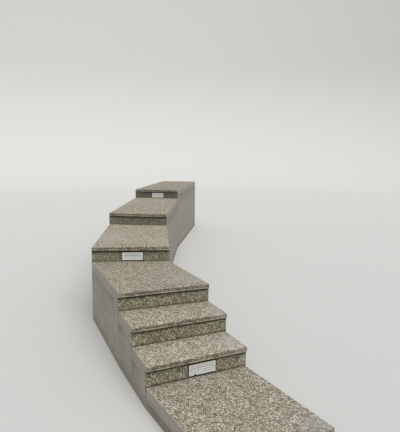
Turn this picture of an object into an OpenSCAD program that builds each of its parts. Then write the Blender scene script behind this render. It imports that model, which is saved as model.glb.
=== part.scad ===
// Garden steps of exposed aggregate concrete, laid as a gently curving path.
// Each step is a tread slab with an overhanging nosing, carried by a riser wall
// in front and a wall along each side. Low step lights sit in three risers.
// +Z is up and +Y leads up the path. The origin is the middle of the footprint.

/* [Flight] */
// Height from one tread to the next
rise = 170; // [160:1:200]
// Width of the path, measured along a nosing
path_w = 880; // [800:1:1200]

/* [Goings] */
// Centre of nosing 0 to centre of nosing 1
going_0 = 1023; // [800:1:1300]
// Centre of nosing 1 to centre of nosing 2
going_1 = 372; // [330:1:600]
// Centre of nosing 2 to centre of nosing 3
going_2 = 400; // [330:1:600]
// Centre of nosing 3 to centre of nosing 4
going_3 = 1199; // [800:1:1600]
// Centre of nosing 4 to centre of nosing 5
going_4 = 1737; // [1200:1:2200]
// Centre of nosing 5 to centre of nosing 6
going_5 = 2644; // [2000:1:3200]
// Centre of nosing 6 to the far end of the top landing
going_6 = 3270; // [2400:1:3800]

/* [Directions of the centre line] */
// Direction of tread 0 in plan, in degrees from +X
tread_angle_0 = 118.4; // [112:0.1:124]
// Direction of tread 1
tread_angle_1 = 114.2; // [108:0.1:122]
// Direction of tread 2
tread_angle_2 = 113.9; // [108:0.1:120]
// Direction of tread 3
tread_angle_3 = 113.6; // [106:0.1:118]
// Direction of tread 4
tread_angle_4 = 94.8; // [90:0.1:100]
// Direction of tread 5
tread_angle_5 = 89.2; // [84:0.1:94]
// Direction of tread 6
tread_angle_6 = 84.5; // [80:0.1:90]

/* [Directions of the nosings] */
// Direction of nosing 0 in plan, in degrees from +X
nosing_angle_0 = 29.6; // [24:0.1:34]
// Direction of nosing 1
nosing_angle_1 = 27.3; // [22:0.1:32]
// Direction of nosing 2
nosing_angle_2 = 26.1; // [20:0.1:30]
// Direction of nosing 3
nosing_angle_3 = 23; // [18:0.1:28]
// Direction of nosing 4
nosing_angle_4 = 5.5; // [1:0.1:10]
// Direction of nosing 5
nosing_angle_5 = -6.9; // [-12:0.1:-2]
// Direction of nosing 6
nosing_angle_6 = -8.5; // [-13:0.1:-4]
// Direction of the far edge of the top landing
end_angle = -5.5; // [-10:0.1:0]

/* [Treads] */
// Thickness of the nosing that shows above a riser
nosing_t = 44; // [36:1:60]
// How far the nosing stands out in front of the riser
nosing_out = 34; // [20:1:50]
// Thickness of the slab behind the riser's upstand
slab_t = 100; // [80:1:120]

// Radius of the tooled arris along the front and the sides of a tread
arris_r = 12; // [6:1:16]
// Radius of the arris under the front of a nosing
under_r = 7; // [3:1:12]
// Radius of the front corners of a tread in plan
corner_r = 18; // [10:1:30]

/* [Walls] */
// Thickness of a riser wall
riser_t = 150; // [120:1:200]
// Thickness of the upstand that carries the nosing
upstand_t = 75; // [65:1:90]
// Thickness of a side wall
side_t = 140; // [100:1:200]

/* [Step lights] */
// Width of a light's face plate
plate_w = 235; // [200:1:260]
// Height of a light's face plate
plate_h = 90; // [80:1:100]
// Thickness of a face plate
plate_t = 6; // [4:0.5:10]
// Radius of a face plate's corners
plate_r = 5; // [2:0.5:10]
// Gap between a face plate and the tread below it
plate_lift = 9; // [5:1:14]
// Width of the frame round the window of a face plate
frame_w = 18; // [14:1:22]
// Light in riser 1, from the middle of the riser to the right
light_1_shift = 37; // [-100:1:100]
// Light in riser 4, from the middle of the riser to the right
light_4_shift = 20; // [-100:1:100]
// Light in riser 6, from the middle of the riser to the right
light_6_shift = 24; // [-100:1:100]
// Depth of the box that holds a light
box_depth = 50; // [40:1:55]
// Thickness of the box's sheet
box_wall = 2; // [1:0.5:3]
// Gap between the box and the pocket in the concrete
pocket_gap = 1; // [0.5:0.5:3]
// Number of louvre hoods in a window
hood_n = 3; // [2:1:4]
// Outer radius of a hood's quarter round
hood_r = 13; // [8:0.5:14]
// Thickness of a hood's sheet
hood_t = 2; // [1:0.5:3]
// How far the hoods' lips stand back from the front of the face plate
hood_recess = 2; // [1:0.5:4]
// Thickness of the lens behind the hoods
lens_t = 3; // [2:0.5:5]

/* [Hidden] */
$fn = 48;

goings = [going_0, going_1, going_2, going_3, going_4, going_5, going_6];
tread_angles = [tread_angle_0, tread_angle_1, tread_angle_2, tread_angle_3, tread_angle_4,
                tread_angle_5, tread_angle_6];
nosing_angles = [nosing_angle_0, nosing_angle_1, nosing_angle_2, nosing_angle_3, nosing_angle_4,
                 nosing_angle_5, nosing_angle_6, end_angle];
top_step = len(goings) - 1;
LEFT = -1;
RIGHT = 1;

// How far a cut runs past the solid that it cuts
past = 20;
// Share of its radius by which an arris stays short of running smoothly into its faces,
// like the faint line that an edging tool leaves
tool_line = 0.1;

concrete = "#b3a797";
formed_concrete = "#a39c90";
white_paint = "#e9e7e1";
frosted_glass = "#d8d6cc";
galvanised = "#9a9c9e";

window_w = plate_w - 2 * frame_w;
window_h = plate_h - 2 * frame_w;
box_w = window_w + 2 * box_wall;
box_h = window_h + 2 * box_wall;

// Unit vector in plan, and the heading of a vector
function unit(angle) = [cos(angle), sin(angle)];
function heading(v) = atan2(v[1], v[0]);

// Point where the line through p along u crosses the line through q along v
function meet(p, u, q, v) = p + u * cross(q - p, v) / cross(u, v);

// The path in plan. Nosing 0 has its middle at [0, 0], and the others follow up the path

// Unit vectors along nosing k to the right, and square to it up the path
function across(k) = unit(nosing_angles[k]);
function uphill(k) = unit(nosing_angles[k] + 90);

// Middle of nosing k
function station(k) = k == 0 ? [0, 0] : station(k - 1) + goings[k - 1] * unit(tread_angles[k - 1]);

// End of nosing k on one side of the path
function corner(k, side) = station(k) + side * path_w / 2 * across(k);

// Far end of a side of tread k, where the next riser's face meets the next tread's side
function back_corner(k, side) =
    k == top_step
    ? corner(k + 1, side)
    : meet(station(k + 1) + nosing_out * uphill(k + 1), across(k + 1),
           corner(k + 1, side), back_corner(k + 1, side) - corner(k + 1, side));

// Middle of the footprint
corners = [for (k = [0:top_step]) for (side = [LEFT, RIGHT]) each [corner(k, side), back_corner(k, side)]];
xs = [for (p = corners) p[0]];
ys = [for (p = corners) p[1]];
middle = [(min(xs) + max(xs)) / 2, (min(ys) + max(ys)) / 2];

// Heights of the top of tread k and of the surface in front of riser k
function tread_z(k) = (k + 1) * rise;
function foot_z(k) = k * rise;

// Each step in its own frame, with the middle of its nosing's front at [0, 0], X along the
// nosing to the right and Y square to it up the path

// Places a step's parts from that frame
module at_nosing(k) {
    p = station(k) - middle;
    translate([p[0], p[1], 0]) rotate([0, 0, nosing_angles[k]]) children();
}

// A plan point in the frame of step k
function seen_from(k, p) = [(p - station(k)) * across(k), (p - station(k)) * uphill(k)];

// Angle of a side of tread k to the left of square to its nosing
function lean(k, side) = heading(back_corner(k, side) - corner(k, side)) - nosing_angles[k] - 90;

// Point on a side of tread k, moved in by an inset, at a depth behind the nosing
function side_point(k, side, inset, depth) =
    [side * (path_w / 2 - inset / cos(lean(k, side))) - depth * tan(lean(k, side)), depth];

// Point on the same line, at a distance in front of the tread's back edge
function back_point(k, side, inset, ahead) =
    let (
        left = seen_from(k, back_corner(k, LEFT)),
        right = seen_from(k, back_corner(k, RIGHT)),
        u = (right - left) / norm(right - left)
    )
    meet(left - ahead * [-u[1], u[0]], u, side_point(k, side, inset, 0), [-tan(lean(k, side)), 1]);

// Outline between two depths behind nosing k, over the full width of the path
function band(k, near, far) = [
    side_point(k, LEFT, 0, near), side_point(k, RIGHT, 0, near),
    side_point(k, RIGHT, 0, far), side_point(k, LEFT, 0, far)
];

module prism(outline, z_low, z_high) {
    translate([0, 0, z_low]) linear_extrude(z_high - z_low) polygon(outline);
}

// Block between two depths behind a nosing, wider than the path, for cutting
module cross_cut(near, far, z_low, z_high) {
    translate([-path_w, near, z_low]) cube([2 * path_w, far - near, z_high - z_low]);
}

// The front of a tread from left to right has three straight edges: down the left side,
// along the nosing and up the right side. Headings of the three in the frame of step k
function edge_headings(k) = [lean(k, LEFT) - 90, 0, lean(k, RIGHT) + 90];

// Centre of the round between edges i and i + 1
function round_centre(k, i) =
    let (
        h = edge_headings(k),
        side = i == 0 ? LEFT : RIGHT,
        t = corner_r * tan((h[i + 1] - h[i]) / 2)
    )
    side_point(k, side, 0, 0) - t * unit(h[i]) + corner_r * unit(h[i] + 90);

// Outline of tread k, with its two front corners rounded
module slab_outline(k) {
    h = edge_headings(k);
    centres = [for (i = [0, 1]) round_centre(k, i)];
    polygon([
        for (i = [0, 1]) each [centres[i] + corner_r * unit(h[i] - 90), centres[i] + corner_r * unit(h[i + 1] - 90)],
        back_point(k, RIGHT, 0, 0), back_point(k, LEFT, 0, 0)
    ]);
    for (c = centres) translate(c) circle(corner_r);
}

// What an edging tool of radius r takes off: X points out of the slab and Y up, from the edge
module arris_offcut(r) {
    centre = -(1 + tool_line) * r;
    translate([centre, centre]) difference() {
        square(past - centre);
        circle(r * norm([tool_line, 1 + tool_line]));
    }
}

// The offcut along a side of a tread, from past its back edge to past its front
module side_offcut(k, side) {
    length = norm(back_corner(k, side) - corner(k, side));
    translate(concat(side_point(k, side, 0, 0), 0))
        rotate([0, 0, lean(k, side)])
            mirror([side == LEFT ? 1 : 0, 0, 0])
                translate([0, length + past, 0])
                    rotate([90, 0, 0]) linear_extrude(length + 2 * past) arris_offcut(arris_r);
}

// Section along the path through a tread's slab: X runs up the path from the nosing's front
// and Y up from the tread. The nosing is thinner than the slab behind it, which leaves the
// seat for the riser's upstand, and its two arrises are tooled round
module long_section(length) {
    seat = nosing_out + upstand_t;
    difference() {
        polygon([[0, 0], [length, 0], [length, -slab_t], [seat, -slab_t], [seat, -nosing_t], [0, -nosing_t]]);
        mirror([1, 0]) arris_offcut(arris_r);
        translate([0, -nosing_t]) rotate(180) arris_offcut(under_r);
    }
}

// Slab: the long section carried across the path, trimmed to the tread's outline in plan,
// with the arrises of both sides tooled round as far as the next riser
module tread(k) {
    length = max([for (side = [LEFT, RIGHT]) seen_from(k, back_corner(k, side))[1]]) + past;
    color(concrete) at_nosing(k) translate([0, 0, tread_z(k)]) difference() {
        intersection() {
            translate([-path_w, 0, 0]) rotate([90, 0, 90]) linear_extrude(2 * path_w) long_section(length);
            translate([0, 0, -slab_t - past]) linear_extrude(slab_t + 2 * past) slab_outline(k);
        }
        side_offcut(k, LEFT);
        side_offcut(k, RIGHT);
    }
}

// Wall under the front of a tread, with a ledge for the slab behind its upstand
module riser(k, light_shift = undef) {
    top = tread_z(k) - nosing_t;
    ledge = tread_z(k) - slab_t;
    color(concrete) at_nosing(k) difference() {
        prism(band(k, nosing_out, nosing_out + riser_t), 0, top);
        cross_cut(nosing_out + upstand_t, nosing_out + riser_t + past, ledge, top + past);
        if (light_shift != undef) in_riser(k, light_shift) pocket();
    }
}

// Wall under one side of a tread, from its riser wall back to the next one
module side_wall(k, side) {
    far = k == top_step ? riser_t : 0;
    near = nosing_out + riser_t;
    color(formed_concrete) at_nosing(k)
        prism([
            side_point(k, side, 0, near), side_point(k, side, side_t, near),
            back_point(k, side, side_t, far), back_point(k, side, 0, far)
        ], 0, tread_z(k) - slab_t);
}

// Wall under the far edge of the top landing
module end_wall() {
    k = top_step;
    color(formed_concrete) at_nosing(k)
        prism([
            back_point(k, LEFT, 0, riser_t), back_point(k, RIGHT, 0, riser_t),
            back_point(k, RIGHT, 0, 0), back_point(k, LEFT, 0, 0)
        ], 0, tread_z(k) - slab_t);
}

// Places a light's parts in the frame of step k: X along the riser, Y into the wall from its
// face, Z up, from the middle of the face plate
module in_riser(k, shift) {
    translate([shift, nosing_out, foot_z(k) + plate_lift + plate_h / 2]) children();
}

// Space for a light's box, open at the riser's face
module pocket() {
    w = box_w + 2 * pocket_gap;
    h = box_h + 2 * pocket_gap;
    depth = box_depth + pocket_gap;
    translate([-w / 2, -past, -h / 2]) cube([w, depth + past, h]);
}

// Rounded rectangle, standing on the riser's face
module upright_panel(w, h, r, t) {
    rotate([90, 0, 0]) linear_extrude(t) union() {
        square([w - 2 * r, h], center = true);
        square([w, h - 2 * r], center = true);
        for (x = [-1, 1]) for (z = [-1, 1])
            translate([x * (w / 2 - r), z * (h / 2 - r)]) circle(r);
    }
}

module light_plate(k, shift) {
    color(white_paint) at_nosing(k) in_riser(k, shift) difference() {
        upright_panel(plate_w, plate_h, plate_r, plate_t);
        translate([-window_w / 2, -plate_t - past, -window_h / 2])
            cube([window_w, plate_t + 2 * past, window_h]);
    }
}

// Quarter-round hood: X runs from its lip into the light, Y up from its lip
module hood_profile() {
    intersection() {
        square(hood_r);
        translate([hood_r, 0]) difference() {
            circle(hood_r);
            circle(hood_r - hood_t);
        }
    }
}

// Hoods one above the other between two cheeks
module light_louvre(k, shift) {
    pitch = window_h / hood_n;
    y = hood_recess - plate_t;
    color(white_paint) at_nosing(k) in_riser(k, shift) union() {
        for (side = [-1, 1])
            translate([side * (window_w - hood_t) / 2 - hood_t / 2, y, -window_h / 2])
                cube([hood_t, hood_r, window_h]);
        for (i = [0:hood_n - 1])
            translate([-window_w / 2 + hood_t / 2, y, (i + 0.5) * pitch - window_h / 2 - hood_r / 2])
                rotate([90, 0, 90]) linear_extrude(window_w - hood_t) hood_profile();
    }
}

module light_lens(k, shift) {
    color(frosted_glass) at_nosing(k) in_riser(k, shift)
        translate([-window_w / 2, hood_recess - plate_t + hood_r, -window_h / 2])
            cube([window_w, lens_t, window_h]);
}

module light_box(k, shift) {
    color(galvanised) at_nosing(k) in_riser(k, shift) difference() {
        translate([-box_w / 2, 0, -box_h / 2]) cube([box_w, box_depth, box_h]);
        translate([-window_w / 2, -past, -window_h / 2])
            cube([window_w, box_depth - box_wall + past, window_h]);
    }
}

tread(0);  // tread_0
tread(1);  // tread_1
tread(2);  // tread_2
tread(3);  // tread_3
tread(4);  // tread_4
tread(5);  // tread_5
tread(6);  // tread_6
riser(0);  // riser_0
riser(1, light_1_shift);  // riser_1
riser(2);  // riser_2
riser(3);  // riser_3
riser(4, light_4_shift);  // riser_4
riser(5);  // riser_5
riser(6, light_6_shift);  // riser_6
side_wall(0, LEFT);  // left_wall_0
side_wall(1, LEFT);  // left_wall_1
side_wall(2, LEFT);  // left_wall_2
side_wall(3, LEFT);  // left_wall_3
side_wall(4, LEFT);  // left_wall_4
side_wall(5, LEFT);  // left_wall_5
side_wall(6, LEFT);  // left_wall_6
side_wall(0, RIGHT);  // right_wall_0
side_wall(1, RIGHT);  // right_wall_1
side_wall(2, RIGHT);  // right_wall_2
side_wall(3, RIGHT);  // right_wall_3
side_wall(4, RIGHT);  // right_wall_4
side_wall(5, RIGHT);  // right_wall_5
side_wall(6, RIGHT);  // right_wall_6
end_wall();
light_plate(1, light_1_shift);  // light_plate_1
light_plate(4, light_4_shift);  // light_plate_4
light_plate(6, light_6_shift);  // light_plate_6
light_louvre(1, light_1_shift);  // light_louvre_1
light_louvre(4, light_4_shift);  // light_louvre_4
light_louvre(6, light_6_shift);  // light_louvre_6
light_lens(1, light_1_shift);  // light_lens_1
light_lens(4, light_4_shift);  // light_lens_4
light_lens(6, light_6_shift);  // light_lens_6
light_box(1, light_1_shift);  // light_box_1
light_box(4, light_4_shift);  // light_box_4
light_box(6, light_6_shift);  // light_box_6
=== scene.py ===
"""Looks of the curving garden steps: exposed aggregate treads and risers, formed side walls,
louvred step lights, and a plain stage. Everything is in metres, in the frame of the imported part."""

import math
from functools import partial

import bmesh
import bpy
import numpy as np
from bpy.props import FloatProperty, FloatVectorProperty, PointerProperty
from mathutils import Matrix


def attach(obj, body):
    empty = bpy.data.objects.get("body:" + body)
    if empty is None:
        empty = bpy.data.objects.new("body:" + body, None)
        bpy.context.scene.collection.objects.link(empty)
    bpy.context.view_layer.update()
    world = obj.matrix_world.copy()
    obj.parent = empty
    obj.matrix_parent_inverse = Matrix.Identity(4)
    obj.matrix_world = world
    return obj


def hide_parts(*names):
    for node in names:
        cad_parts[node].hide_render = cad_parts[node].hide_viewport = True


bl_info = {
    "name": "Aggregate Garden Steps",
    "version": (1, 0, 0),
    "blender": (4, 5, 0),
    "location": "View3D > Sidebar > Steps",
    "description": "Stone finishes, step lights and a stage for a run of curving garden steps",
    "category": "Object",
}

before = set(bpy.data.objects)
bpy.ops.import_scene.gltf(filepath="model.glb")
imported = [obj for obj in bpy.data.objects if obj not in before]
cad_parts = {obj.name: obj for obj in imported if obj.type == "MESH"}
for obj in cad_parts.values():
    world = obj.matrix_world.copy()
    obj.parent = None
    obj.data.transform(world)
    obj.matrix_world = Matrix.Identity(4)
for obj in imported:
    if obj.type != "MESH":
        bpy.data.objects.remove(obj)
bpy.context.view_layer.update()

STEPS = sum(name.startswith("tread_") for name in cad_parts)
LIT = [k for k in range(STEPS) if f"light_plate_{k}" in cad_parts]

# Plan directions in which the faces of a step are looked for, and the way up
FRONT = np.array([0.0, -1.0])
BACK = np.array([0.0, 1.0])
LEFT = np.array([-1.0, 0.0])
RIGHT = np.array([1.0, 0.0])
UP = np.array([0.0, 0.0, 1.0])

# Tone of each tread: lighter and darker treads, as painted light and shade
TREAD_LIGHT_AND_SHADE = [0.94, 1.08, 1.01, 0.90, 0.98, 0.88, 0.74]

# Cooler, paler patches: tread, share of the width from the left, share of the length from the front,
# radius in metres, strength
PATCHES = [
    (0, 0.97, 0.08, 0.16, 0.7), (1, 0.92, 0.40, 0.16, 0.8), (2, 0.97, 0.35, 0.14, 0.6),
    (3, 0.88, 0.30, 0.26, 0.5), (4, 0.16, 0.34, 0.20, 0.8), (4, 0.93, 0.20, 0.14, 0.5),
    (5, 0.20, 0.75, 0.25, 0.3), (6, 0.86, 0.42, 0.50, 0.8),
]

# A smaller upright face is a facet of a round and not a side, in square metres
LEAST_FACE = 0.003
# A face is upright if the Z of its normal is nearer to 0 than this
LEAN = 0.01
# Points this near are one point of a surface
SAME_POINT = 1e-5
# An edge that turns by more than this is shaded as an edge, on a surface and on a modelled stone
SHARP = math.radians(48)
STONE_SHARP = math.radians(80)
# Heights between which the risers darken
DARKENS = (0.50, 1.16)
# Seeds of the stones' random numbers, to which the number of the step is added
TREAD_SEED = 100
RISER_SEED = 200


# Sizes and colours that a user would change


# A size in metres, and a colour
Size = partial(FloatProperty, min=0, unit="LENGTH")
Colour = partial(FloatVectorProperty, min=0, max=1, subtype="COLOR")


class StoneSettings(bpy.types.PropertyGroup):
    """Sizes and colours of the cast and exposed stone surfaces"""

    recess: Size(
        name="Paste recess", description="How far the washed paste lies below the tops of the stones",
        default=0.0017)
    swell: Size(
        name="Swell", description="Height of the slow waves that a float leaves in a tread",
        default=0.0016)
    arris: Size(
        name="Arris radius", description="Radius of a tread's tooled upper arris",
        default=0.012, min=0.002)
    under: Size(
        name="Lower arris radius", description="Radius under the front of a nosing",
        default=0.007, min=0.001)
    corner: Size(
        name="Corner radius", description="Radius of a tread's front corners in plan",
        default=0.018, min=0.005)
    joint: Size(
        name="Joint", description="Open joint between a tread and the riser behind it", default=0.004)
    stone_pitch: Size(
        name="Stone pitch", description="Mean distance from one large stone to the next",
        default=0.0158, min=0.008)
    stone_least: Size(
        name="Least stone", description="Half the length of the smallest modelled stone",
        default=0.0042, min=0.001)
    stone_most: Size(
        name="Largest stone", description="Half the length of the largest modelled stone",
        default=0.0090, min=0.002)
    groove: Size(
        name="Groove", description="Depth and height of the groove under the sides of a tread",
        default=0.004, min=0.001)
    board: Size(
        name="Form board", description="Height of a board of the formwork of the side walls",
        default=0.14, min=0.05)
    paste: Colour(
        name="Washed paste", description="Cement paste between the stones", default=(0.41, 0.365, 0.265))
    lilac: Colour(
        name="Lilac patches", description="Cooler patches on the treads", default=(0.50, 0.46, 0.48))
    bare_paste: Colour(
        name="Smooth paste", description="Smooth pale paste on tooled arrises",
        default=(0.54, 0.495, 0.395))
    # Colour of dirt, used also as painted shade in the joints behind the treads and at the feet of the
    # risers, and as painted shadow under the nosings
    dirt_and_shade: Colour(
        name="Dirt", description="Dirt in joints and corners", default=(0.06, 0.05, 0.035))
    formed: Colour(
        name="Formed concrete", description="Concrete cast against boards", default=(0.36, 0.34, 0.295))


class LightSettings(bpy.types.PropertyGroup):
    """Sizes and colours of the step lights"""

    edge: Size(
        name="Plate edge radius", description="Radius of the front edge of a face plate",
        default=0.0016, min=0.0002)
    # The gasket's black lip round a plate stands partly for the shadow round the plate
    gasket_and_shadow_reach: Size(
        name="Gasket reach", description="How far the gasket shows round a face plate", default=0.0072)
    gasket_thick: Size(
        name="Gasket thickness", description="Thickness of the gasket behind a face plate",
        default=0.0022, min=0.0005)
    sheet: Size(
        name="Hood sheet", description="Thickness of a louvre hood", default=0.002, min=0.0005)
    screw: Size(
        name="Screw head", description="Diameter of a screw head", default=0.0085, min=0.003)
    enamel: Colour(
        name="White enamel", description="Baked enamel of the face plates", default=(0.92, 0.92, 0.90))
    hood: Colour(
        name="Hood enamel", description="Duller enamel of the louvre hoods", default=(0.80, 0.81, 0.80))
    rubber: Colour(
        name="Gasket rubber", description="Black rubber of the gaskets", default=(0.012, 0.012, 0.012))
    steel: Colour(
        name="Screw steel", description="Dulled steel of the screws", default=(0.08, 0.075, 0.065))


class StageSettings(bpy.types.PropertyGroup):
    """Camera, lamps and backdrop"""

    floor: Colour(
        name="Floor", description="Pale floor and backdrop", default=(0.71, 0.71, 0.70))
    reach: Size(
        name="Floor radius", description="Radius of the level part of the floor", default=19.0, min=5)
    sky: FloatProperty(
        name="Sky", description="Strength of the even light from all round", default=0.60, min=0)
    overhead: FloatProperty(
        name="Overhead", description="Strength of the broad light from above", default=1.60, min=0)
    eye: FloatVectorProperty(
        name="Eye", description="Place of the camera",
        default=(0.2433, -7.7292, 1.8804), subtype="TRANSLATION", unit="LENGTH")
    pitch: FloatProperty(
        name="Pitch", description="How far the camera looks down",
        default=math.radians(7.158), unit="ROTATION")
    roll: FloatProperty(
        name="Roll", description="Turn of the camera about its view",
        default=math.radians(0.481), unit="ROTATION")
    lens: FloatProperty(name="Lens", description="Focal length on a 36 mm frame", default=40.0, min=1)


# Numbers worked out over whole arrays


def unit(v):
    """Vectors divided by their lengths."""
    return v / np.linalg.norm(v, axis=-1, keepdims=True)


# Weights of a lattice point's coordinates and of its seed in the sum, and the factor of the sum's sine
WEIGHTS = np.array([127.1, 311.7, 74.7])
SEED_WEIGHT = 53.3
LARGE = 43758.5453


def lattice(whole, seed):
    """A number from 0 to 1 for each whole point: the fraction left by a large sine of a weighted sum."""
    wave = np.sin(whole @ WEIGHTS + SEED_WEIGHT * seed) * LARGE
    return wave - np.floor(wave)


def noise(points, pitch, seed=0):
    """Smooth noise from -1 to 1: lattice numbers a pitch apart, blended by a cubic along each axis. Each
    seed gives another pattern."""
    p = np.asarray(points, float) / pitch
    cell = np.floor(p)
    t = p - cell
    t = t * t * (3 - 2 * t)
    total = 0.0
    for i in (0, 1):
        for j in (0, 1):
            for k in (0, 1):
                share = (
                    np.abs(1 - i - t[..., 0]) * np.abs(1 - j - t[..., 1]) * np.abs(1 - k - t[..., 2])
                )
                total = total + share * lattice(cell + np.array([i, j, k]), seed)
    return 2 * total - 1


def step_up(value, low, high):
    """0 below low, 1 above high, and a smooth cubic between them."""
    t = np.clip((value - low) / (high - low), 0, 1)
    return t * t * (3 - 2 * t)


def raised(plan, height):
    """Plan points given a height."""
    plan = np.asarray(plan, float)
    return np.concatenate([plan, np.broadcast_to(height, plan.shape[:-1])[..., None]], axis=-1)


def line(start, end, shares):
    """Points on a straight line, at shares of its length."""
    shares = np.asarray(shares)[:, None]
    return np.asarray(start) * (1 - shares) + np.asarray(end) * shares


def shares_along(points):
    """How far along a row of points each one is, from 0 to 1."""
    steps = np.linalg.norm(np.diff(points, axis=0), axis=1)
    return np.concatenate([[0], np.cumsum(steps)]) / steps.sum()


def patch(front, back, left, right):
    """Surface spanned by four edges that share their corners: the ruled surface from front to back,
    plus the one from left to right, minus the bilinear one between the corners. The front and back
    run from left to right, and the sides from front to back."""
    u = shares_along(front)[:, None, None]
    v = shares_along(left)[None, :, None]
    corners = (1 - v) * ((1 - u) * front[0] + u * front[-1]) + v * ((1 - u) * back[0] + u * back[-1])
    return (1 - v) * front[:, None] + v * back[:, None] + (1 - u) * left[None] + u * right[None] - corners


# Faces of the CAD nodes


def read(items, name, width):
    """One attribute of a mesh's points or faces, as a row of numbers for each."""
    values = np.empty(len(items) * width)
    items.foreach_get(name, values)
    return values.reshape(-1, width)


def points_of(node):
    """The points of a CAD node."""
    return read(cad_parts[node].data.vertices, "co", 3)


def heights(node):
    """Heights of a node's level faces, to a tenth of a millimetre, from the lowest up."""
    return np.unique(np.round(points_of(node)[:, 2], 4))


def outer_face(node, towards):
    """The outermost large upright face of a node that looks within 60 degrees of a plan direction, as
    the plan normal and its distance from the origin. Triangles whose normals and distances agree to
    three digits are one face."""
    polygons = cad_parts[node].data.polygons
    normals, centres = read(polygons, "normal", 3), read(polygons, "center", 3)
    areas = read(polygons, "area", 1)[:, 0]
    reach = (normals * centres).sum(1)
    upright = (np.abs(normals[:, 2]) < LEAN) & (normals[:, :2] @ towards > 0.5)
    keys = np.round(np.c_[normals, reach], 3)[upright]
    groups, group = np.unique(keys, axis=0, return_inverse=True)
    area = np.bincount(group.ravel(), areas[upright])
    best = np.argmax(np.where(area > LEAST_FACE, groups[:, 3], -np.inf))
    mine = np.flatnonzero(upright)[group.ravel() == best]
    normal = np.average(normals[mine, :2], axis=0, weights=areas[mine])
    return unit(normal), np.average(reach[mine], weights=areas[mine])


def moved(face, distance):
    """A face moved outwards."""
    return face[0], face[1] + distance


def meeting(a, b):
    """Plan point where two upright faces meet."""
    return np.linalg.solve(np.array([a[0], b[0]]), np.array([a[1], b[1]]))


# Meshes


def grid_faces(n, m):
    """The four corners of each face of a grid of n by m points."""
    place = np.arange(n * m).reshape(n, m)
    corners = [place[:-1, :-1], place[1:, :-1], place[1:, 1:], place[:-1, 1:]]
    return np.stack(corners, axis=-1).reshape(-1, 4)


class Shell:
    """A surface gathered from grids of points whose rims meet."""

    def __init__(self):
        self.points, self.faces, self.values, self.count = [], [], {}, 0

    def add(self, grid, **values):
        """Adds a grid of points, with a number at each point for each value that is named."""
        n, m = grid.shape[:2]
        self.points.append(grid.reshape(-1, 3))
        self.faces.append(grid_faces(n, m) + self.count)
        for name, value in values.items():
            each = np.broadcast_to(value, (n, m)).ravel()
            self.values.setdefault(name, []).append((self.count, each))
        self.count += n * m

    def piece(self, name, finish, slot):
        """Welds the grids into one closed mesh whose faces look outwards."""
        values = {}
        for key, parts in self.values.items():
            values[key] = np.zeros(self.count)
            for start, part in parts:
                values[key][start:start + len(part)] = part
        points, faces = np.concatenate(self.points), np.concatenate(self.faces)
        obj = new_piece(name, points, faces, finish, values)
        welded = bmesh.new()
        welded.from_mesh(obj.data)
        bmesh.ops.remove_doubles(welded, verts=welded.verts, dist=SAME_POINT)
        bmesh.ops.dissolve_degenerate(welded, edges=welded.edges, dist=SAME_POINT)
        bmesh.ops.recalc_face_normals(welded, faces=welded.faces)
        welded.to_mesh(obj.data)
        welded.free()
        obj.data.set_sharp_from_angle(angle=SHARP)
        return obj


def new_piece(name, points, faces, finish, values=None):
    """A smooth-shaded mesh object that rides on the steps. Every face has the same number of corners,
    and each value becomes an attribute of the points."""
    mesh = bpy.data.meshes.new(name)
    mesh.vertices.add(len(points))
    mesh.vertices.foreach_set("co", np.asarray(points, np.float32).ravel())
    mesh.loops.add(faces.size)
    mesh.loops.foreach_set("vertex_index", faces.astype(np.int32).ravel())
    mesh.polygons.add(len(faces))
    mesh.polygons.foreach_set("loop_start", np.arange(0, faces.size, faces.shape[1], dtype=np.int32))
    mesh.update(calc_edges=True)
    mesh.polygons.foreach_set("use_smooth", np.ones(len(faces), bool))
    for key, value in (values or {}).items():
        layer = mesh.attributes.new(key, "FLOAT", "POINT")
        layer.data.foreach_set("value", np.asarray(value, np.float32))
    mesh.materials.append(finish)
    obj = bpy.data.objects.new(name, mesh)
    bpy.context.scene.collection.objects.link(obj)
    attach(obj, "root")
    return obj


# Materials


class Wire:
    """An output of a shader node. Sums on wires and numbers add Math nodes."""

    def __init__(self, finish, socket):
        self.finish, self.socket = finish, socket

    def __add__(self, other):
        return self.finish.math("ADD", self, other)

    def __sub__(self, other):
        return self.finish.math("SUBTRACT", self, other)

    def __rsub__(self, other):
        return self.finish.math("SUBTRACT", other, self)

    def __mul__(self, other):
        return self.finish.math("MULTIPLY", self, other)

    def __truediv__(self, other):
        return self.finish.math("DIVIDE", self, other)

    def __gt__(self, other):
        return self.finish.math("GREATER_THAN", self, other)

    __radd__ = __add__
    __rmul__ = __mul__


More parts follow.
